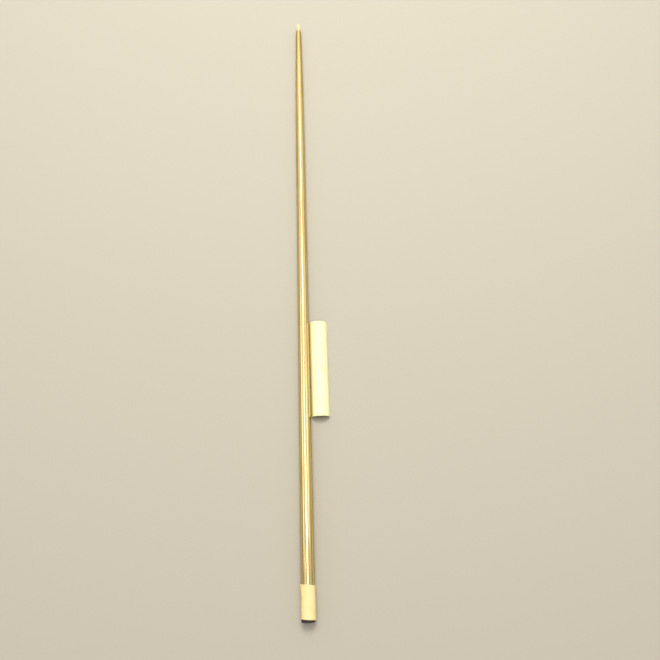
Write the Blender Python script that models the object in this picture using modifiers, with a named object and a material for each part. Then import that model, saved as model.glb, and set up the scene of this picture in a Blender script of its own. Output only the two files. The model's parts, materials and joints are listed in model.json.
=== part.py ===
"""A stand-up garden dibber: a long tapered tube with a small peg at its tip and a taped, plugged butt end.

A loose half-round sleeve lies on the floor beside the tube. Metres, +Z up. The dibber lies along +Y with its
tip at +Y, and the floor is the plane Z = 0. The origin is at the floor, in the middle of the whole object.
"""

import math

import bmesh
import bpy
from mathutils import Vector

COLLECTION_NAME = "garden_dibber"

# Driving dimensions.
TUBE_LENGTH = 1.0176
BUTT_RADIUS = 0.01005
TAPER_PER_METRE = 0.00337
TUBE_WALL = 0.0010
NOSE_START = 0.75
NOSE_DROP = 0.00190
NOSE_POWER = 2.5
MOUTH_RADIUS = 0.0033
MOUTH_ROUNDING = 0.0030
PEG_RADIUS = 0.0029
PEG_REACH = 0.0170
PEG_SHANK_LENGTH = 0.028
PLUG_FLANGE = 0.0054
PLUG_SKIRT_LENGTH = 0.020
PLUG_WALL = 0.0020
PLUG_RIB_HEIGHT = 0.0004
PLUG_RIB_HALF_LENGTH = 0.001
PLUG_RIB_PITCH = 0.005
PLUG_RIBS = 3
WRAP_WIDTH = 0.0464
WRAP_INSET = 0.0042
WRAP_THICKNESS = 0.00035
SLEEVE_LENGTH = 0.1535
SLEEVE_RADIUS = 0.0144
SLEEVE_WALL = 0.0016
SLEEVE_SIDE_OFFSET = 0.0240
SLEEVE_FROM_BUTT = 0.2933
SLEEVE_TURN = math.radians(0.35)

# The tape is wound a little askew, so its edges are furthest from the butt on the upper left. Its start lies
# under its end, set back from the tip-side edge. Its end runs straight, then slants to a peeling corner.
WRAP_START = math.radians(-60)
WRAP_END = math.radians(410)
WRAP_CORNER = math.radians(450)
WRAP_END_STRAIGHT = 0.6
WRAP_CLIMB = math.radians(60)
WRAP_TILT = 0.0014
WRAP_TILT_TOWARDS = math.radians(45)
WRAP_START_SETBACK = 0.0048
WRAP_CORNER_LIFT = 0.0006
WRAP_CORNER_WIDTH = math.radians(30)
WRAP_CORNER_LENGTH = 0.008

# Where along the tube its lowest point is looked for, in metres beyond the wrap.
BELLY_START = 0.2
BELLY_STEP = 0.01
BELLY_STEPS = 76

GAP = 0.0003
LAYER_GAP = 0.00025
ROUND_STEPS = 48
SMALL_STEPS = 28

PLUG_FACE = -GAP - PLUG_FLANGE
TIP_END = TUBE_LENGTH + PEG_REACH
OVERALL_LENGTH = TIP_END - PLUG_FACE
WRAP_NEAR_EDGE = PLUG_FACE + WRAP_INSET
WRAP_FAR_EDGE = WRAP_NEAR_EDGE + WRAP_WIDTH
WRAP_LEFT_REACH = (
    BUTT_RADIUS - TAPER_PER_METRE * WRAP_FAR_EDGE + GAP + LAYER_GAP + 2 * WRAP_THICKNESS + WRAP_CORNER_LIFT
)
SLEEVE_RIGHT_REACH = (
    SLEEVE_SIDE_OFFSET + SLEEVE_RADIUS * math.cos(SLEEVE_TURN) + SLEEVE_LENGTH / 2 * math.sin(SLEEVE_TURN)
)
AXIS_X = (WRAP_LEFT_REACH - SLEEVE_RIGHT_REACH) / 2
BUTT_Y = -OVERALL_LENGTH / 2 - PLUG_FACE


def clear_scene():
    for scene_object in list(bpy.data.objects):
        bpy.data.objects.remove(scene_object, do_unlink=True)
    for collection in list(bpy.data.collections):
        bpy.data.collections.remove(collection)


def tube_radius(station):
    """Outer radius of the tube at a distance from its butt end: an even taper, then a fuller nose."""
    along_nose = max(0.0, (station - NOSE_START) / (TUBE_LENGTH - NOSE_START))
    return BUTT_RADIUS - TAPER_PER_METRE * station - NOSE_DROP * along_nose ** NOSE_POWER


def resting_slope():
    """Fall of the axis per metre when the wrap's inner edge and the tube's belly both touch the floor."""
    wrap_low = tube_radius(WRAP_FAR_EDGE) + GAP + WRAP_THICKNESS
    stations = [WRAP_FAR_EDGE + BELLY_START + BELLY_STEP * step for step in range(BELLY_STEPS)]
    return min((wrap_low - tube_radius(station)) / (station - WRAP_FAR_EDGE) for station in stations)


def make_material(name, colour, metallic, roughness):
    material = bpy.data.materials.new(name)
    material.use_nodes = True
    shader = material.node_tree.nodes["Principled BSDF"]
    shader.inputs["Base Color"].default_value = (*colour, 1.0)
    shader.inputs["Metallic"].default_value = metallic
    shader.inputs["Roughness"].default_value = roughness
    return material


def add_object(name, mesh, material, collection, parent=None):
    new_object = bpy.data.objects.new(name, mesh)
    new_object.data.materials.append(material)
    new_object.parent = parent
    collection.objects.link(new_object)
    return new_object


def shade_round(mesh):
    mesh.shade_smooth()
    mesh.set_sharp_from_angle(angle=math.radians(35))


def turned(name, profile, material, collection, parent, steps, closed=False):
    """A line of (radius, station) points spun about the local Z axis; a closed one makes a tube."""
    mesh = bpy.data.meshes.new(name)
    edges = [(index, index + 1) for index in range(len(profile) - 1)]
    if closed:
        edges.append((len(profile) - 1, 0))
    mesh.from_pydata([(radius, 0.0, station) for radius, station in profile], edges, [])
    part = add_object(name, mesh, material, collection, parent)
    spin = part.modifiers.new("spin", "SCREW")
    spin.axis = "Z"
    spin.steps = steps
    spin.render_steps = steps
    spin.use_merge_vertices = True
    spin.merge_threshold = 0.00001
    spin.use_smooth_shade = True
    return part


def make_axis_empty(collection):
    """The tube's axis: local Z runs from the butt end to the tip, local Y points down."""
    slope = resting_slope()
    wrap_low = tube_radius(WRAP_FAR_EDGE) + GAP + WRAP_THICKNESS
    axis = bpy.data.objects.new("shaft_axis", None)
    axis.location = (AXIS_X, BUTT_Y, wrap_low + slope * WRAP_FAR_EDGE)
    axis.rotation_euler = (-math.pi / 2 - math.atan(slope), 0.0, 0.0)
    collection.objects.link(axis)
    return axis


def make_shaft_tube(collection, axis):
    """Thin-walled tapered tube whose tip is rolled in to a small round mouth."""
    plating = make_material("polished_tube", (0.80, 0.64, 0.32), 1.0, 0.10)
    shoulder = TUBE_LENGTH - MOUTH_ROUNDING
    tip_radius = tube_radius(shoulder)
    stations = [0.0, 0.25, 0.5, NOSE_START, 0.80, 0.85, 0.89, 0.92, 0.95, 0.975, 0.995, shoulder]
    outer = [(tube_radius(station), station) for station in stations]
    quarter = [math.radians(angle) for angle in (30, 60, 90)]
    lip = tip_radius - MOUTH_RADIUS
    rounding = [
        (MOUTH_RADIUS + lip * math.cos(angle), shoulder + MOUTH_ROUNDING * math.sin(angle)) for angle in quarter
    ]
    inner_shoulder = shoulder + MOUTH_ROUNDING - TUBE_WALL
    inner = [(MOUTH_RADIUS, inner_shoulder), (tip_radius - TUBE_WALL, shoulder)]
    inner += [(tube_radius(station) - TUBE_WALL, station) for station in reversed(stations[:-1])]
    top_to_bottom = list(reversed(outer + rounding + inner))
    return turned("shaft_tube", top_to_bottom, plating, collection, axis, ROUND_STEPS, closed=True)


def make_tip_peg(collection, axis):
    """Pale peg whose wide shank is held inside the tube and whose round nose stands out of the mouth."""
    ivory = make_material("ivory_nylon", (0.86, 0.72, 0.40), 0.0, 0.45)
    shank_end = TUBE_LENGTH - MOUTH_ROUNDING - GAP
    shank_start = shank_end - PEG_SHANK_LENGTH
    nose_centre = TIP_END - PEG_RADIUS
    profile = [
        (0.0, shank_start),
        (tube_radius(shank_start) - TUBE_WALL - GAP, shank_start),
        (tube_radius(shank_end) - TUBE_WALL - GAP, shank_end),
        (PEG_RADIUS, shank_end),
    ]
    arc = [math.radians(angle) for angle in (0, 22.5, 45, 67.5)]
    profile += [(PEG_RADIUS * math.cos(angle), nose_centre + PEG_RADIUS * math.sin(angle)) for angle in arc]
    profile.append((0.0, TIP_END))
    return turned("tip_peg", list(reversed(profile)), ivory, collection, axis, SMALL_STEPS)


def make_butt_plug(collection, axis):
    """Push-in end plug: a flange over the tube's end, and a ribbed skirt that is open towards the tube."""
    black = make_material("black_plastic", (0.03, 0.03, 0.03), 0.0, 0.5)
    bore = tube_radius(PLUG_SKIRT_LENGTH) - TUBE_WALL
    rib_radius = bore - GAP
    skirt_radius = rib_radius - PLUG_RIB_HEIGHT
    profile = [(0.0, PLUG_FACE), (BUTT_RADIUS - GAP, PLUG_FACE), (BUTT_RADIUS, PLUG_FACE + GAP)]
    profile += [(BUTT_RADIUS, -GAP), (skirt_radius, -GAP)]
    for rib in range(1, PLUG_RIBS + 1):
        middle = PLUG_RIB_PITCH * rib
        rib_ends = (middle - PLUG_RIB_HALF_LENGTH, middle + PLUG_RIB_HALF_LENGTH)
        profile += [(skirt_radius, rib_ends[0]), (rib_radius, middle), (skirt_radius, rib_ends[1])]
    profile += [(skirt_radius, PLUG_SKIRT_LENGTH), (skirt_radius - PLUG_WALL, PLUG_SKIRT_LENGTH)]
    profile += [(skirt_radius - PLUG_WALL, PLUG_WALL), (0.0, PLUG_WALL)]
    return turned("butt_plug", list(reversed(profile)), black, collection, axis, SMALL_STEPS)


def wrap_end(across):
    """Winding angle at which the tape ends, at a share of its width from the butt side."""
    slanted = max(0.0, (across - WRAP_END_STRAIGHT) / (1.0 - WRAP_END_STRAIGHT))
    return WRAP_END + (WRAP_CORNER - WRAP_END) * slanted


def wrap_point(angle, across):
    """Middle of the tape at a winding angle (0 is up, 90 degrees is left) and a share of the tape's width."""
    layer = min(1.0, max(0.0, 1.0 + (angle - WRAP_START - 2 * math.pi) / WRAP_CLIMB))
    tilt = WRAP_TILT * (math.cos(angle - WRAP_TILT_TOWARDS) - math.cos(WRAP_TILT_TOWARDS))
    set_back = WRAP_START_SETBACK * min(1.0, max(0.0, 2.0 - 2.0 * angle / math.pi))
    far_edge = WRAP_FAR_EDGE + tilt - set_back
    station = WRAP_NEAR_EDGE + tilt + (far_edge - WRAP_NEAR_EDGE - tilt) * across
    peel = (angle - WRAP_CORNER + WRAP_CORNER_WIDTH) / WRAP_CORNER_WIDTH
    peel += (station - far_edge + WRAP_CORNER_LENGTH) / WRAP_CORNER_LENGTH - 1.0
    lift = WRAP_CORNER_LIFT * max(0.0, peel) ** 2
    radius = tube_radius(max(station, 0.0)) + GAP + WRAP_THICKNESS / 2
    radius += layer * (WRAP_THICKNESS + LAYER_GAP) + lift
    return Vector((-radius * math.sin(angle), -radius * math.cos(angle), station))


def make_end_wrap(collection, axis):
    """One strip of cream tape wound one and a third times round the butt end, with a peeling corner."""
    cream = make_material("cream_tape", (0.86, 0.72, 0.42), 0.0, 0.75)
    columns = 70
    rows = 10
    form = bmesh.new()
    grid = []
    for column in range(columns + 1):
        corners = []
        for across in (row / rows for row in range(rows + 1)):
            angle = WRAP_START + (wrap_end(across) - WRAP_START) * column / columns
            corners.append(form.verts.new(wrap_point(angle, across)))
        grid.append(corners)
    for near, far in zip(grid, grid[1:]):
        for row in range(rows):
            form.faces.new((near[row], far[row], far[row + 1], near[row + 1]))
    bmesh.ops.recalc_face_normals(form, faces=form.faces)
    mesh = bpy.data.meshes.new("end_wrap")
    form.to_mesh(mesh)
    form.free()
    shade_round(mesh)
    wrap = add_object("end_wrap", mesh, cream, collection, axis)
    thicken = wrap.modifiers.new("thicken", "SOLIDIFY")
    thicken.thickness = WRAP_THICKNESS
    thicken.offset = 0.0
    return wrap


def make_half_sleeve(collection):
    """Half-round sleeve that lies on its long edges, open towards the floor, almost parallel to the tube."""
    white = make_material("white_sleeve", (0.90, 0.87, 0.62), 0.0, 0.40)
    angles = [math.pi * step / SMALL_STEPS for step in range(SMALL_STEPS + 1)]
    inner_radius = SLEEVE_RADIUS - SLEEVE_WALL
    arch_points = [(SLEEVE_RADIUS, angle) for angle in angles]
    arch_points += [(inner_radius, angle) for angle in reversed(angles)]
    outline = [(radius * math.cos(angle), radius * math.sin(angle)) for radius, angle in arch_points]
    form = bmesh.new()
    near_end = -SLEEVE_LENGTH / 2
    arch = form.faces.new([form.verts.new((across, near_end, height)) for across, height in outline])
    swept = bmesh.ops.extrude_face_region(form, geom=[arch])
    far_corners = [item for item in swept["geom"] if isinstance(item, bmesh.types.BMVert)]
    bmesh.ops.translate(form, verts=far_corners, vec=(0.0, SLEEVE_LENGTH, 0.0))
    bmesh.ops.recalc_face_normals(form, faces=form.faces)
    mesh = bpy.data.meshes.new("half_sleeve")
    form.to_mesh(mesh)
    form.free()
    shade_round(mesh)
    sleeve = add_object("half_sleeve", mesh, white, collection)
    middle_y = BUTT_Y + PLUG_FACE + SLEEVE_FROM_BUTT + SLEEVE_LENGTH / 2
    sleeve.location = (AXIS_X + SLEEVE_SIDE_OFFSET, middle_y, 0.0)
    sleeve.rotation_euler = (0.0, 0.0, SLEEVE_TURN)
    return sleeve


def main():
    clear_scene()
    collection = bpy.data.collections.new(COLLECTION_NAME)
    bpy.context.scene.collection.children.link(collection)
    axis = make_axis_empty(collection)
    make_shaft_tube(collection, axis)
    make_tip_peg(collection, axis)
    make_butt_plug(collection, axis)
    make_end_wrap(collection, axis)
    make_half_sleeve(collection)


main()
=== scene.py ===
"""Looks for the garden dibber: fine meshes, procedural materials, studio light and the camera.

Every piece along the tube is made in the tube's own frame, which the butt mount gives: local Z runs from
the butt end to the tip, local -Y is up, and a station is a distance from the tube's butt end. The finished
meshes are turned into the world's frame, where the tube lies almost exactly along +Y. Metres throughout.
"""

import json
import math

import bmesh
import bpy
from mathutils import Matrix, Vector, noise


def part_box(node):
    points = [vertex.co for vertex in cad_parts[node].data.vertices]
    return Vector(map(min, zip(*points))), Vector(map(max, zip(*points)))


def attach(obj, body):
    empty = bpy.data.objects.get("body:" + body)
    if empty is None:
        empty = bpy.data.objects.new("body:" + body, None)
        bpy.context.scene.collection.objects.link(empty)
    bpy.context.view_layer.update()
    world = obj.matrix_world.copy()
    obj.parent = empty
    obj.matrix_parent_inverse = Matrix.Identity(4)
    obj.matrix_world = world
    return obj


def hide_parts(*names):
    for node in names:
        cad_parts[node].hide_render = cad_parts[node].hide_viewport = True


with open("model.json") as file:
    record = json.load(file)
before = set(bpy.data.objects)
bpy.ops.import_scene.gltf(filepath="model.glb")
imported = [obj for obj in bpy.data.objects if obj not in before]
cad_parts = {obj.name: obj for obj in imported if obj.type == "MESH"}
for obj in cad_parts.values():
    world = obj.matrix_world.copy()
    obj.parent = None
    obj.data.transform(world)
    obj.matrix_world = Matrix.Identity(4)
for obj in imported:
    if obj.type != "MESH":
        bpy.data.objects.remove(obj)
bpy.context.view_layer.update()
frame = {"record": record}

# The tube, its mouth and the peg, as in the frame.
TUBE_LENGTH = 1.0176
BUTT_RADIUS = 0.01005
TAPER_PER_METRE = 0.00337
TUBE_WALL = 0.0010
NOSE_START = 0.75
NOSE_DROP = 0.00190
NOSE_POWER = 2.5
MOUTH_RADIUS = 0.0033
MOUTH_ROUNDING = 0.0030
MOUTH_LIP = 0.00025
BUTT_CHAMFER = 0.0002
PEG_RADIUS = 0.0029
PEG_REACH = 0.0170
PEG_SHANK_LENGTH = 0.028
PEG_WEAR = 0.00005
PEG_WEAR_WAVES = 900.0
PEG_NOSE_ARC = 84
PEG_STEM_MARGIN = 0.001
BORE_SHOULDER = 0.01
FIT_GAP = 0.0003

# The butt plug.
PLUG_FLANGE = 0.0054
PLUG_EDGE = 0.0005
PLUG_SKIRT_LENGTH = 0.020
PLUG_WALL = 0.0020
PLUG_CHAMFER = 0.0002
PLUG_FACE_MARGIN = 0.0004
PLUG_RIBS = 3
PLUG_RIB_START = 0.004
PLUG_RIB_PITCH = 0.005
PLUG_RIB_LENGTH = 0.002
PLUG_RIB_HEIGHT = 0.0004
GATE_RADIUS = 0.0011
GATE_DEPTH = 0.0003

# The tape. Its angles are seen from the butt end: 0 is up and 90 degrees is left.
TAPE_WIDTH = 0.0464
TAPE_THICKNESS = 0.00056
TAPE_MIDDLE_LIFT = 0.00036
TAPE_LAYER_STEP = 0.0006
TAPE_INSET = 0.0042
TAPE_START = math.radians(-60)
TAPE_END = math.radians(410)
TAPE_CORNER = math.radians(450)
TAPE_END_STRAIGHT = 0.6
TAPE_CLIMB = math.radians(60)
TAPE_TILT = 0.0014
TAPE_TILT_TOWARDS = math.radians(45)
TAPE_START_SETBACK = 0.0048
TAPE_CORNER_LIFT = 0.0006
TAPE_CORNER_WIDTH = math.radians(30)
TAPE_CORNER_LENGTH = 0.008
TAPE_RAGGEDNESS = 0.00010
TAPE_RAGGED_WAVES = 5.0
# The painted shadow line along the step at the tape's end: its angular width, and how strong it is on the
# end's own edge.
TAPE_STEP_SHADE_WIDTH = math.radians(7)
TAPE_STEP_SHADE_ABOVE = 0.4

# Creping is a sum of soft waves. Each has a strength, waves per radian, waves per metre and a seed.
TAPE_CREPE = 0.00005
TAPE_CREPE_WAVES = ((1.0, 16.0, 140.0, 0.0), (0.6, 40.0, 90.0, 7.0), (0.6, 1.7, 45.0, 20.0))

# The half-round sleeve.
SLEEVE_RADIUS = 0.0144
SLEEVE_WALL = 0.0016
SLEEVE_LENGTH = 0.1535
SLEEVE_TURN = math.radians(0.35)
SLEEVE_ROUNDING = 0.00035
SLEEVE_END_MARGIN = 0.002
SLEEVE_UNEVENNESS = 0.00004
SLEEVE_WAVES_ROUND = 60.0
SLEEVE_WAVES_ALONG = 14.0

# How finely the meshes are cut.
TUBE_SIDES = 128
TUBE_ROWS = 96
BORE_ROWS = 40
PEG_SIDES = 72
PEG_ROWS = 14
PLUG_SIDES = 96
TAPE_COLUMNS = 420
TAPE_ROWS = 90
SLEEVE_ROWS = 76
SLEEVE_QUARTER_STEPS = 40

# Colours. In a pair, the first is the clean surface and the second its duller patches.
TUBE_TINTS = ((0.81, 0.65, 0.31), (0.74, 0.58, 0.26))
TUBE_WORN_TINT = (0.72, 0.55, 0.22)
TUBE_EDGE_TINT = (0.45, 0.36, 0.18)
PEG_TINTS = ((0.82, 0.65, 0.33), (0.75, 0.57, 0.26))
PEG_SOIL = (0.50, 0.38, 0.18)
PLUG_TINTS = ((0.024, 0.020, 0.014), (0.070, 0.058, 0.038))
TAPE_TINTS = ((0.87, 0.71, 0.37), (0.84, 0.68, 0.34))
# Colour of the painted shade in the valleys of the tape's crepe.
TAPE_FOLD_SHADE_TINT = (0.66, 0.50, 0.23)
TAPE_EDGE_SOIL = (0.55, 0.42, 0.18)
# Colour of the painted shadow along the step at the tape's end.
TAPE_STEP_SHADE_TINT = (0.50, 0.37, 0.15)
SLEEVE_TINTS = ((0.91, 0.87, 0.54), (0.89, 0.84, 0.49))
SLEEVE_GRIME = (0.70, 0.62, 0.40)
FLOOR_TINT = (0.45, 0.425, 0.365)

# Where the camera stands, measured from the dibber's butt end.
CAMERA_HEIGHT = 1.0
CAMERA_FROM_BUTT = 0.1331
CAMERA_TO_RIGHT = 0.0343
CAMERA_PITCH = math.radians(16.83)
CAMERA_TURN = math.radians(-1.63)
CAMERA_LENS = 34.9
CAMERA_SENSOR = 36.0
CAMERA_CLIP_START = 0.05

# The room: its floor and ceiling, its lights' colours, and how bright and warm it is by direction.
FLOOR_SIZE = 40.0
CEILING = 2.4
WARM_LIGHT = (1.0, 0.97, 0.90)
WHITE_LIGHT = (0.82, 0.89, 1.0)
HORIZON_LIGHT = (1.0, 0.82, 0.46)
HORIZON_TOP = 0.40
ROOM_BY_HEIGHT = (0.0, 0.45, 0.24, 1.0)
ROOM_BY_LENGTH = (-0.13, 0.15, 0.60, 1.05)


# ---------------------------------------------------------------- places in the frame


def butt_mount():
    """The middle of the butt's flat face, and the way it faces."""
    mounts = {mount["name"]: mount for mount in frame["record"]["mounts"]}
    face = mounts["butt_face"]
    return Vector(face["pos_m"]), Vector(face["axis"]).normalized()


def tube_frame():
    """Matrix of the tube's own frame, whose origin is the middle of the tube's butt end."""
    face_point, outward = butt_mount()
    along = -outward
    across = Vector((1.0, 0.0, 0.0))
    down = along.cross(across)
    origin = face_point + along * (PLUG_FLANGE + FIT_GAP)
    return Matrix.Translation(origin) @ Matrix((across, down, along)).transposed().to_4x4()


def tube_radius(station):
    """Outer radius of the tube at a station: an even taper, then a fuller nose."""
    along_nose = max(0.0, (station - NOSE_START) / (TUBE_LENGTH - NOSE_START))
    return BUTT_RADIUS - TAPER_PER_METRE * station - NOSE_DROP * along_nose ** NOSE_POWER


# ---------------------------------------------------------------- mesh helpers


def finish_piece(form, name, material, matrix, body, node, sharp_angle=35):
    """Makes a bmesh a piece that rides on a body, stands for a CAD node and takes the given material."""
    form.transform(matrix)
    bmesh.ops.recalc_face_normals(form, faces=form.faces)
    mesh = bpy.data.meshes.new(name)
    form.to_mesh(mesh)
    form.free()
    mesh.shade_smooth()
    mesh.set_sharp_from_angle(angle=math.radians(sharp_angle))
    mesh.materials.append(material)
    piece = bpy.data.objects.new(name, mesh)
    bpy.context.scene.collection.objects.link(piece)
    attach(piece, body)
    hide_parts(node)
    return piece


def add_row(form, points):
    return [form.verts.new(point) for point in points]


def bridge(form, near, far, closed=True):
    """Faces between two rows of as many vertices; a row of one vertex is a pole."""
    count = max(len(near), len(far))
    for index in range(count if closed else count - 1):
        following = (index + 1) % count
        corners = [near[index % len(near)], near[following % len(near)]]
        corners += [far[following % len(far)], far[index % len(far)]]
        form.faces.new(list(dict.fromkeys(corners)))


def turned(profile, steps, closed=False):
    """A bmesh of (radius, station) points turned about the local Z axis."""
    form = bmesh.new()
    rows = []
    for radius, station in profile:
        if radius == 0.0:
            rows.append(add_row(form, [(0.0, 0.0, station)]))
            continue
        angles = [2 * math.pi * step / steps for step in range(steps)]
        ring = [(radius * math.cos(angle), radius * math.sin(angle), station) for angle in angles]
        rows.append(add_row(form, ring))
    for near, far in zip(rows, rows[1:]):
        bridge(form, near, far)
    if closed:
        bridge(form, rows[-1], rows[0])
    return form


def spread(first, last, steps):
    """Evenly spaced values from first to last, both included."""
    return [first + (last - first) * step / steps for step in range(steps + 1)]


def arc(middle, radius, first, last, steps):
    """Points of a round corner in a section, with angles in degrees."""
    angles = [math.radians(angle) for angle in spread(first, last, steps)]
    return [(middle[0] + radius * math.cos(a), middle[1] + radius * math.sin(a)) for a in angles]


# ---------------------------------------------------------------- material helpers, also used for the world


def new_material(name, colour, sockets):
    """A Principled material and its shader, with values that are the same all over set on the sockets."""
    material = bpy.data.materials.new(name)
    material.use_nodes = True
    shader = material.node_tree.nodes["Principled BSDF"]
    shader.inputs["Base Color"].default_value = (*colour, 1.0)
    for socket, value in sockets.items():
        shader.inputs[socket].default_value = value
    return material, shader


def add_node(material, kind, **values):
    node = material.node_tree.nodes.new(kind)
    for name, value in values.items():
        setattr(node, name, value)
    return node


def link(material, source, target):
    material.node_tree.links.new(source, target)


def place(material, stretch=(1.0, 1.0, 1.0)):
    """World coordinates at rest, in metres, scaled by stretch."""
    coordinates = add_node(material, "ShaderNodeTexCoord")
    mapping = add_node(material, "ShaderNodeMapping")
    mapping.inputs["Scale"].default_value = stretch
    link(material, coordinates.outputs["Object"], mapping.inputs["Vector"])
    return mapping.outputs["Vector"]


def noise_value(material, per_metre, detail=3.0, roughness=0.5, stretch=(1.0, 1.0, 1.0)):
    texture = add_node(material, "ShaderNodeTexNoise")
    texture.inputs["Scale"].default_value = per_metre
    texture.inputs["Detail"].default_value = detail
    texture.inputs["Roughness"].default_value = roughness
    link(material, place(material, stretch), texture.inputs["Vector"])
    return texture.outputs["Fac"]


def station_value(material):
    """Distance from the tube's butt end, in metres; the tube's slope is too small to matter here."""
    split = add_node(material, "ShaderNodeSeparateXYZ")
    link(material, place(material), split.inputs["Vector"])
    return combine(material, "SUBTRACT", split.outputs["Y"], tube_frame().translation.y)


def ramp_value(material, value, low, high, to_low=0.0, to_high=1.0, ends="SMOOTHSTEP"):
    """Maps low..high onto to_low..to_high, with smooth ends unless they are LINEAR."""
    ramp = add_node(material, "ShaderNodeMapRange", interpolation_type=ends)
    for socket, number in zip(("From Min", "From Max", "To Min", "To Max"), (low, high, to_low, to_high)):
        ramp.inputs[socket].default_value = number
    link(material, value, ramp.inputs["Value"])
    return ramp.outputs["Result"]


def combine(material, operation, first, second):
    """Math on two values; the second may be a number."""
    node = add_node(material, "ShaderNodeMath", operation=operation)
    link(material, first, node.inputs[0])
    if isinstance(second, float):
        node.inputs[1].default_value = second
    else:
        link(material, second, node.inputs[1])
    return node.outputs["Value"]


def mix_colours(material, factor, first, second):
    """Mixes two colours; the first may be another mix's output."""
    node = add_node(material, "ShaderNodeMix", data_type="RGBA")
    link(material, factor, node.inputs["Factor"])
    for socket, colour in zip(("A", "B"), (first, second)):
        target = [entry for entry in node.inputs if entry.name == socket and entry.type == "RGBA"][0]
        if isinstance(colour, tuple):
            target.default_value = (*colour, 1.0)
        else:
            link(material, colour, target)
    return [entry for entry in node.outputs if entry.type == "RGBA"][0]


def add_bump(material, shader, layers):
    """Chains bumps, each a (height value, depth in metres, strength)."""
    normal = None
    for height, depth, strength in layers:
        bump = add_node(material, "ShaderNodeBump")
        bump.inputs["Distance"].default_value = depth
        bump.inputs["Strength"].default_value = strength
        link(material, height, bump.inputs["Height"])
        if normal is not None:
            link(material, normal, bump.inputs["Normal"])
        normal = bump.outputs["Normal"]
    link(material, normal, shader.inputs["Normal"])


# ---------------------------------------------------------------- materials


def polished_tube_material():
    """Bright plating with a warm tint: lengthwise polishing lines, smudges, and a dulled, scuffed tip."""
    material, shader = new_material("polished_tube", TUBE_TINTS[0], {"Metallic": 1.0})
    shader.inputs["Specular Tint"].default_value = (*TUBE_EDGE_TINT, 1.0)
    smudges = noise_value(material, 38.0, 4.0, 0.55, (1.0, 0.35, 1.0))
    lines = noise_value(material, 2600.0, 3.0, 0.6, (1.0, 0.012, 1.0))
    scuffs = noise_value(material, 700.0, 5.0, 0.65, (1.0, 0.30, 1.0))
    dulled = ramp_value(material, station_value(material), 0.86, 1.02)
    handled = ramp_value(material, smudges, 0.46, 0.68)
    tint = mix_colours(material, handled, *TUBE_TINTS)
    worn = combine(material, "MULTIPLY", dulled, ramp_value(material, scuffs, 0.40, 0.62, 0.35, 1.0))
    tint = mix_colours(material, worn, tint, TUBE_WORN_TINT)
    link(material, tint, shader.inputs["Base Color"])
    finish = ramp_value(material, smudges, 0.35, 0.72, 0.07, 0.09)
    streaks = ramp_value(material, lines, 0.35, 0.70, 0.0, 0.02)
    finish = combine(material, "ADD", finish, streaks)
    finish = combine(material, "ADD", finish, combine(material, "MULTIPLY", worn, 0.16))
    link(material, finish, shader.inputs["Roughness"])
    add_bump(material, shader, [(lines, 0.000002, 0.5), (scuffs, 0.000003, 0.25)])
    return material


def ivory_peg_material():
    """Satin ivory nylon with faint turning rings and a scuffed, slightly soiled nose."""
    material, shader = new_material("ivory_peg", PEG_TINTS[0], {"Specular IOR Level": 0.45})
    cloud = noise_value(material, 300.0, 3.0)
    nicks = noise_value(material, 1500.0, 5.0, 0.7)
    rings = noise_value(material, 3000.0, 2.0, 0.5, (0.02, 1.0, 0.02))
    tint = mix_colours(material, ramp_value(material, cloud, 0.35, 0.65), *PEG_TINTS)
    nose = ramp_value(material, station_value(material), TUBE_LENGTH + 0.010, TUBE_LENGTH + PEG_REACH)
    soil_and_painted_shade = combine(material, "MULTIPLY", nose, ramp_value(material, nicks, 0.50, 0.68, 0.0, 0.6))
    link(material, mix_colours(material, soil_and_painted_shade, tint, PEG_SOIL), shader.inputs["Base Color"])
    link(material, ramp_value(material, nicks, 0.3, 0.7, 0.38, 0.62), shader.inputs["Roughness"])
    add_bump(material, shader, [(rings, 0.00002, 0.4), (nicks, 0.00003, 0.4)])
    return material


def black_plug_material():
    """Moulded black polythene: fine grain, and dust that has settled in patches."""
    material, shader = new_material("black_plug", PLUG_TINTS[0], {"Specular IOR Level": 0.4})
    grain = noise_value(material, 2400.0, 4.0, 0.6)
    patches = noise_value(material, 240.0, 3.0)
    dust = ramp_value(material, patches, 0.45, 0.75, 0.0, 0.7)
    tint = mix_colours(material, dust, *PLUG_TINTS)
    link(material, tint, shader.inputs["Base Color"])
    link(material, ramp_value(material, grain, 0.3, 0.7, 0.42, 0.66), shader.inputs["Roughness"])
    add_bump(material, shader, [(grain, 0.00003, 0.5)])
    return material


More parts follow.
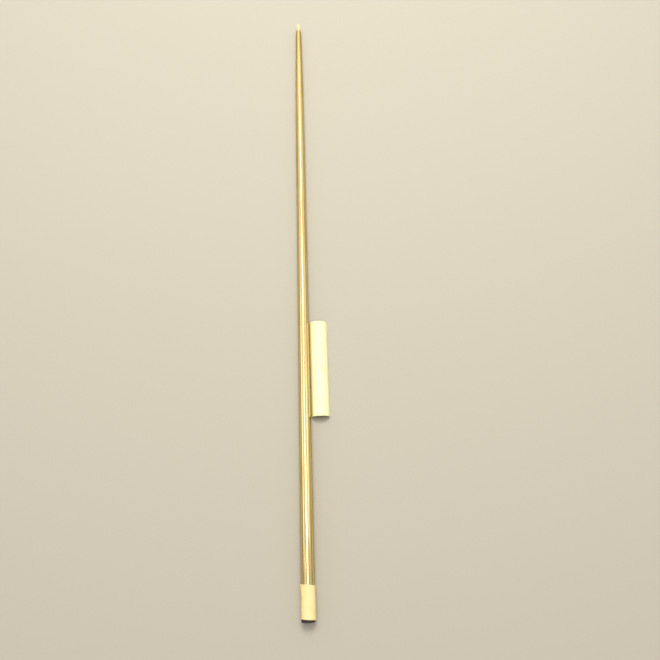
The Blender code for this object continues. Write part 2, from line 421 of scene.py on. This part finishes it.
def cream_tape_material():
    """Matt cream creped tape, with handling marks, soiled edges, painted shade in the crepe folds and a
    painted shadow line along the step at the tape's end.
    """
    material, shader = new_material("cream_tape", TAPE_TINTS[0], {"Specular IOR Level": 0.25})
    shader.inputs["Sheen Weight"].default_value = 0.08
    crepe = noise_value(material, 1900.0, 4.0, 0.6, (1.0, 0.16, 1.0))
    fibres = noise_value(material, 5200.0, 3.0, 0.6)
    marks = noise_value(material, 130.0, 4.0, 0.55)
    tint = mix_colours(material, ramp_value(material, marks, 0.36, 0.70), *TAPE_TINTS)
    # Painted shade: darker where the crepe noise, which also makes the bump, is low.
    fold_shade = ramp_value(material, crepe, 0.30, 0.52, 0.30, 0.0)
    tint = mix_colours(material, fold_shade, tint, TAPE_FOLD_SHADE_TINT)
    station = station_value(material)
    near_soil = ramp_value(material, station, -0.0045, 0.0005, 0.5, 0.0)
    far_soil = ramp_value(material, station, TAPE_WIDTH - 0.0055, TAPE_WIDTH - 0.0030, 0.0, 0.3)
    soil_and_painted_shade = combine(material, "MULTIPLY", combine(material, "ADD", near_soil, far_soil), marks)
    tint = mix_colours(material, soil_and_painted_shade, tint, TAPE_EDGE_SOIL)
    # Painted shadow along the step at the tape's end, read from the mesh's layer.
    step = add_node(material, "ShaderNodeAttribute", attribute_name="step_painted_shade")
    step_painted_shade = combine(material, "MULTIPLY", step.outputs["Fac"], 0.75)
    link(material, mix_colours(material, step_painted_shade, tint, TAPE_STEP_SHADE_TINT), shader.inputs["Base Color"])
    link(material, ramp_value(material, fibres, 0.3, 0.7, 0.62, 0.86), shader.inputs["Roughness"])
    add_bump(material, shader, [(crepe, 0.00005, 0.6), (fibres, 0.00002, 0.4)])
    return material


def white_sleeve_material():
    """Warm white satin plastic: faint extrusion lines, hairline scuffs and a little dust."""
    material, shader = new_material("white_sleeve", SLEEVE_TINTS[0], {"Specular IOR Level": 0.5})
    lines = noise_value(material, 1300.0, 3.0, 0.5, (1.0, 0.010, 1.0))
    cloud = noise_value(material, 45.0, 4.0)
    scuffs = noise_value(material, 900.0, 5.0, 0.7, (1.0, 0.22, 1.0))
    tint = mix_colours(material, ramp_value(material, cloud, 0.35, 0.68), *SLEEVE_TINTS)
    grime = ramp_value(material, scuffs, 0.58, 0.74, 0.0, 0.35)
    link(material, mix_colours(material, grime, tint, SLEEVE_GRIME), shader.inputs["Base Color"])
    satin = ramp_value(material, cloud, 0.3, 0.7, 0.30, 0.42)
    satin = combine(material, "ADD", satin, ramp_value(material, scuffs, 0.50, 0.72, 0.0, 0.18))
    link(material, satin, shader.inputs["Roughness"])
    add_bump(material, shader, [(lines, 0.000012, 0.5), (scuffs, 0.00001, 0.4)])
    return material


# ---------------------------------------------------------------- pieces along the tube


def make_shaft(matrix):
    """The tube: a smooth taper, a mouth rolled in to a small rounded lip, and the bore behind it."""
    shoulder = TUBE_LENGTH - MOUTH_ROUNDING
    tip_radius = tube_radius(shoulder)
    lip_radius = MOUTH_RADIUS + MOUTH_LIP
    profile = [(BUTT_RADIUS - BUTT_CHAMFER, 0.0)]
    profile += [(tube_radius(station), station) for station in spread(BUTT_CHAMFER, shoulder, TUBE_ROWS)]
    for angle in spread(0.0, math.pi / 2, 12)[1:]:
        radius = lip_radius + (tip_radius - lip_radius) * math.cos(angle)
        profile.append((radius, shoulder + MOUTH_ROUNDING * math.sin(angle)))
    profile += arc((lip_radius, TUBE_LENGTH - MOUTH_LIP), MOUTH_LIP, 90, 180, 5)[1:]
    profile.append((MOUTH_RADIUS, TUBE_LENGTH - TUBE_WALL))
    profile.append((tip_radius - TUBE_WALL, shoulder))
    bore = spread(shoulder - BORE_SHOULDER, 0.0, BORE_ROWS)
    profile += [(tube_radius(station) - TUBE_WALL, station) for station in bore]
    form = turned(profile, TUBE_SIDES, closed=True)
    material = polished_tube_material()
    finish_piece(form, "polished_shaft", material, matrix, "dibber", "shaft_tube")


def make_peg(matrix):
    """The peg: a captive shank inside the tube and a round, slightly worn nose outside it."""
    shank_end = TUBE_LENGTH - MOUTH_ROUNDING - FIT_GAP
    shank_start = shank_end - PEG_SHANK_LENGTH
    tip = TUBE_LENGTH + PEG_REACH
    clearance = TUBE_WALL + FIT_GAP
    profile = [(0.0, shank_start), (tube_radius(shank_start) - clearance, shank_start)]
    profile += [(tube_radius(shank_end) - clearance, shank_end), (PEG_RADIUS, shank_end)]
    stem = spread(shank_end + PEG_STEM_MARGIN, tip - PEG_RADIUS, PEG_ROWS)
    profile += [(PEG_RADIUS, station) for station in stem]
    profile += arc((0.0, tip - PEG_RADIUS), PEG_RADIUS, 0, PEG_NOSE_ARC, PEG_ROWS)[1:]
    profile.append((0.0, tip))
    form = turned(profile, PEG_SIDES)
    nose_middle = Vector((0.0, 0.0, tip - PEG_RADIUS))
    for corner in form.verts:
        if corner.co.z > nose_middle.z:
            wear = PEG_WEAR * max(0.0, noise.noise(corner.co * PEG_WEAR_WAVES))
            corner.co -= (corner.co - nose_middle).normalized() * wear
    finish_piece(form, "ivory_peg", ivory_peg_material(), matrix, "dibber", "tip_peg")


def make_plug(matrix):
    """The plug: a flange with softened edges and a small gate dimple, and a ribbed skirt in the bore."""
    face = -FIT_GAP - PLUG_FLANGE
    rib_radius = tube_radius(PLUG_SKIRT_LENGTH) - TUBE_WALL - FIT_GAP
    skirt = rib_radius - PLUG_RIB_HEIGHT
    profile = [(0.0, face + GATE_DEPTH)]
    for share in spread(0.2, 1.0, 6):
        profile.append((GATE_RADIUS * share, face + GATE_DEPTH * (1 - share ** 4)))
    flat = spread(GATE_RADIUS + PLUG_FACE_MARGIN, BUTT_RADIUS - PLUG_EDGE - PLUG_FACE_MARGIN, 6)
    profile += [(radius, face) for radius in flat]
    profile += arc((BUTT_RADIUS - PLUG_EDGE, face + PLUG_EDGE), PLUG_EDGE, -90, 0, 6)
    profile += [(BUTT_RADIUS, -FIT_GAP - PLUG_CHAMFER), (BUTT_RADIUS - PLUG_CHAMFER, -FIT_GAP)]
    profile.append((skirt, -FIT_GAP))
    for rib in range(PLUG_RIBS):
        start = PLUG_RIB_START + PLUG_RIB_PITCH * rib
        profile.append((skirt, start))
        for share in spread(0.0, 1.0, 8)[1:]:
            radius = skirt + PLUG_RIB_HEIGHT * math.sin(math.pi * share)
            profile.append((radius, start + PLUG_RIB_LENGTH * share))
    profile += [(skirt, PLUG_SKIRT_LENGTH), (skirt - PLUG_WALL, PLUG_SKIRT_LENGTH)]
    profile += [(skirt - PLUG_WALL, PLUG_WALL), (0.0, PLUG_WALL)]
    form = turned(profile, PLUG_SIDES)
    finish_piece(form, "end_plug", black_plug_material(), matrix, "dibber", "butt_plug")


def tape_end(across):
    """Winding angle at which the tape ends, at a share of its width from the butt side."""
    slanted = max(0.0, (across - TAPE_END_STRAIGHT) / (1.0 - TAPE_END_STRAIGHT))
    return TAPE_END + (TAPE_CORNER - TAPE_END) * slanted


def tape_point(angle, across):
    """Middle of the tape's thickness at a winding angle and a share of the tape's width."""
    layer = min(1.0, max(0.0, 1.0 + (angle - TAPE_START - 2 * math.pi) / TAPE_CLIMB))
    layer = layer * layer * (3.0 - 2.0 * layer)
    tilt = TAPE_TILT * (math.cos(angle - TAPE_TILT_TOWARDS) - math.cos(TAPE_TILT_TOWARDS))
    tilt += TAPE_RAGGEDNESS * noise.noise(Vector((angle * TAPE_RAGGED_WAVES, 3.0, 0.0)))
    set_back = TAPE_START_SETBACK * min(1.0, max(0.0, 2.0 - 2.0 * angle / math.pi))
    near_edge = -FIT_GAP - PLUG_FLANGE + TAPE_INSET + tilt
    far_edge = near_edge + TAPE_WIDTH - set_back
    station = near_edge + (far_edge - near_edge) * across
    peel = (angle - TAPE_CORNER + TAPE_CORNER_WIDTH) / TAPE_CORNER_WIDTH
    peel += (station - far_edge + TAPE_CORNER_LENGTH) / TAPE_CORNER_LENGTH - 1.0
    lift = TAPE_CORNER_LIFT * max(0.0, peel) ** 2
    crepe = 0.0
    for strength, per_radian, per_metre, seed in TAPE_CREPE_WAVES:
        crepe += strength * noise.noise(Vector((angle * per_radian, station * per_metre, seed)))
    radius = tube_radius(max(station, 0.0)) + TAPE_MIDDLE_LIFT + layer * TAPE_LAYER_STEP + lift
    radius -= TAPE_CREPE * (1.0 + crepe) / 2
    return Vector((-radius * math.sin(angle), -radius * math.cos(angle), station))


def tape_step_painted_shade(angle, across):
    """How much painted shadow lies along the step at the tape's end, below it and on its own edge."""
    below = (angle + 2 * math.pi - tape_end(across)) / TAPE_STEP_SHADE_WIDTH
    above = 2.0 * (tape_end(across) - angle) / TAPE_STEP_SHADE_WIDTH
    return math.exp(-below * below) + TAPE_STEP_SHADE_ABOVE * math.exp(-above * above)


def make_tape(matrix):
    """One strip of tape wound one and a third times round the butt end, with a slanting, peeling end."""
    form = bmesh.new()
    # This layer carries the painted shadow along the step at the tape's end.
    soil_and_painted_shade = form.verts.layers.float.new("step_painted_shade")
    grid = []
    for turned_share in spread(0.0, 1.0, TAPE_COLUMNS):
        row = []
        for across in spread(0.0, 1.0, TAPE_ROWS):
            angle = TAPE_START + (tape_end(across) - TAPE_START) * turned_share
            corner = form.verts.new(tape_point(angle, across))
            corner[soil_and_painted_shade] = tape_step_painted_shade(angle, across)
            row.append(corner)
        grid.append(row)
    for near, far in zip(grid, grid[1:]):
        bridge(form, near, far, closed=False)
    material = cream_tape_material()
    tape = finish_piece(form, "wound_tape", material, matrix, "dibber", "end_wrap", 50)
    thicken = tape.modifiers.new("thicken", "SOLIDIFY")
    thicken.thickness = TAPE_THICKNESS
    thicken.offset = 0.0


# ---------------------------------------------------------------- the sleeve


def sleeve_outline(inset):
    """The sleeve's section, drawn in by inset: outer arc, rounded foot, inner arc, rounded foot."""
    outer = SLEEVE_RADIUS - inset
    inner = SLEEVE_RADIUS - SLEEVE_WALL + inset
    foot = inset + SLEEVE_ROUNDING
    quarter = spread(0.0, math.pi / 2, SLEEVE_QUARTER_STEPS)
    half = [(outer * math.cos(a), foot + (outer - foot) * math.sin(a)) for a in reversed(quarter[1:])]
    half += arc((outer - SLEEVE_ROUNDING, foot), SLEEVE_ROUNDING, 0, -90, 4)
    half += arc((inner + SLEEVE_ROUNDING, foot), SLEEVE_ROUNDING, -90, -180, 4)
    half += [(inner * math.cos(a), foot + (inner - foot) * math.sin(a)) for a in quarter[1:]]
    return half + [(-across, height) for across, height in reversed(half[1:-1])]


def make_sleeve():
    """The half-round sleeve, lying on its two long edges, with every edge a little rounded."""
    low, high = (Vector(corner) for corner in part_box("half_sleeve"))
    middle = (low + high) / 2
    matrix = Matrix.Translation((middle.x, middle.y, 0.0)) @ Matrix.Rotation(SLEEVE_TURN, 4, "Z")
    half_length = SLEEVE_LENGTH / 2
    end = []
    for angle in spread(0.0, math.pi / 2, 4):
        inset = SLEEVE_ROUNDING * (1 - math.sin(angle))
        end.append((inset, half_length - SLEEVE_ROUNDING * (1 - math.cos(angle))))
    sections = [(inset, -along) for inset, along in end]
    straight = half_length - SLEEVE_END_MARGIN
    sections += [(0.0, along) for along in spread(-straight, straight, SLEEVE_ROWS)]
    sections += reversed(end)
    form = bmesh.new()
    rows = []
    for inset, along in sections:
        points = []
        for across, height in sleeve_outline(inset):
            around = Vector((across * SLEEVE_WAVES_ROUND, 0.0, height * SLEEVE_WAVES_ROUND))
            uneven = noise.noise(around + Vector((0.0, along * SLEEVE_WAVES_ALONG, 0.0)))
            shrink = 1.0 - SLEEVE_UNEVENNESS / SLEEVE_RADIUS * (0.5 + 0.5 * uneven)
            points.append((across * shrink, along, height * shrink))
        rows.append(add_row(form, points))
    for near, far in zip(rows, rows[1:]):
        bridge(form, near, far)
    form.faces.new(rows[0])
    form.faces.new(rows[-1])
    material = white_sleeve_material()
    finish_piece(
        form, "half_round_sleeve", material, matrix, "loose_sleeve", "half_sleeve"
    )


# ---------------------------------------------------------------- camera, floor and light


def camera_foot():
    """The point of the floor under the camera."""
    face_point, outward = butt_mount()
    return Vector((face_point.x + CAMERA_TO_RIGHT, face_point.y + CAMERA_FROM_BUTT, 0.0))


def make_camera():
    data = bpy.data.cameras.new("camera")
    data.sensor_width = CAMERA_SENSOR
    data.lens = CAMERA_LENS
    data.clip_start = CAMERA_CLIP_START
    camera = bpy.data.objects.new("camera", data)
    bpy.context.scene.collection.objects.link(camera)
    camera.location = camera_foot() + Vector((0.0, 0.0, CAMERA_HEIGHT))
    camera.rotation_euler = (CAMERA_PITCH, 0.0, CAMERA_TURN)
    bpy.context.scene.camera = camera


def make_floor():
    bpy.ops.mesh.primitive_plane_add(size=FLOOR_SIZE, location=(0.0, 0.0, 0.0))
    floor = bpy.context.object
    floor.name = "floor"
    material, _ = new_material("floor", FLOOR_TINT, {"Roughness": 0.9, "Specular IOR Level": 0.1})
    floor.data.materials.append(material)


def add_ceiling_light(name, across, first, last, width, power_per_area, colour=WARM_LIGHT):
    """A soft light on the ceiling, parallel to the tube, between two distances ahead of the camera."""
    data = bpy.data.lights.new(name, "AREA")
    data.shape = "RECTANGLE"
    data.size = width
    data.size_y = last - first
    data.energy = power_per_area * width * (last - first)
    data.color = colour
    light = bpy.data.objects.new(name, data)
    light.location = camera_foot() + Vector((across, (first + last) / 2, CEILING))
    bpy.context.scene.collection.objects.link(light)
    return light


def make_lights():
    """Strips and panels that only show as reflections, and two broad lights for what is matt."""
    strips = [
        add_ceiling_light("far_end_panel", -0.05, 2.80, 5.00, 1.60, 1.9),
        add_ceiling_light("far_strip", -0.05, 0.95, 2.75, 0.22, 32.0, WHITE_LIGHT),
        add_ceiling_light("middle_strip", -0.42, 0.05, 0.93, 0.18, 28.0, WHITE_LIGHT),
        add_ceiling_light("near_strip", 0.02, -0.70, 0.03, 0.38, 27.0, WHITE_LIGHT),
        add_ceiling_light("near_left_strip", -1.60, -0.65, -0.12, 0.30, 5.0),
        add_ceiling_light("near_panel", -0.05, -0.02, 0.36, 1.40, 3.8, WHITE_LIGHT),
        add_ceiling_light("back_panel", 0.0, -6.0, -1.2, 2.40, 3.2),
        add_ceiling_light("left_panel", -3.70, -0.25, 1.90, 1.40, 3.4),
        add_ceiling_light("right_panel", 1.90, -0.05, 1.05, 0.70, 3.8),
    ]
    broad_lights = [
        add_ceiling_light("key_light", 0.0, 1.30, 2.10, 1.20, 58.0),
        add_ceiling_light("fill_light", 0.0, 0.20, 1.30, 1.80, 10.0),
    ]
    for light in strips:
        light.visible_diffuse = False
    for light in broad_lights:
        light.visible_glossy = False


def make_world():
    """A soft room, dimmer and warmer at the horizon, and a little dimmer on the butt's side."""
    world = bpy.data.worlds.new("studio")
    world.use_nodes = True
    background = world.node_tree.nodes["Background"]
    coordinates = add_node(world, "ShaderNodeTexCoord")
    split = add_node(world, "ShaderNodeSeparateXYZ")
    link(world, coordinates.outputs["Generated"], split.inputs["Vector"])
    by_height = ramp_value(world, split.outputs["Z"], *ROOM_BY_HEIGHT, "LINEAR")
    by_length = ramp_value(world, split.outputs["Y"], *ROOM_BY_LENGTH, "LINEAR")
    link(world, combine(world, "MULTIPLY", by_height, by_length), background.inputs["Strength"])
    rise = ramp_value(world, split.outputs["Z"], 0.0, HORIZON_TOP, ends="LINEAR")
    link(world, mix_colours(world, rise, HORIZON_LIGHT, WARM_LIGHT), background.inputs["Color"])
    bpy.context.scene.world = world


shaft_matrix = tube_frame()
make_camera()
make_shaft(shaft_matrix)
make_peg(shaft_matrix)
make_plug(shaft_matrix)
make_tape(shaft_matrix)
make_sleeve()
make_floor()
make_lights()
make_world()
bpy.context.scene.view_settings.view_transform = "Standard"
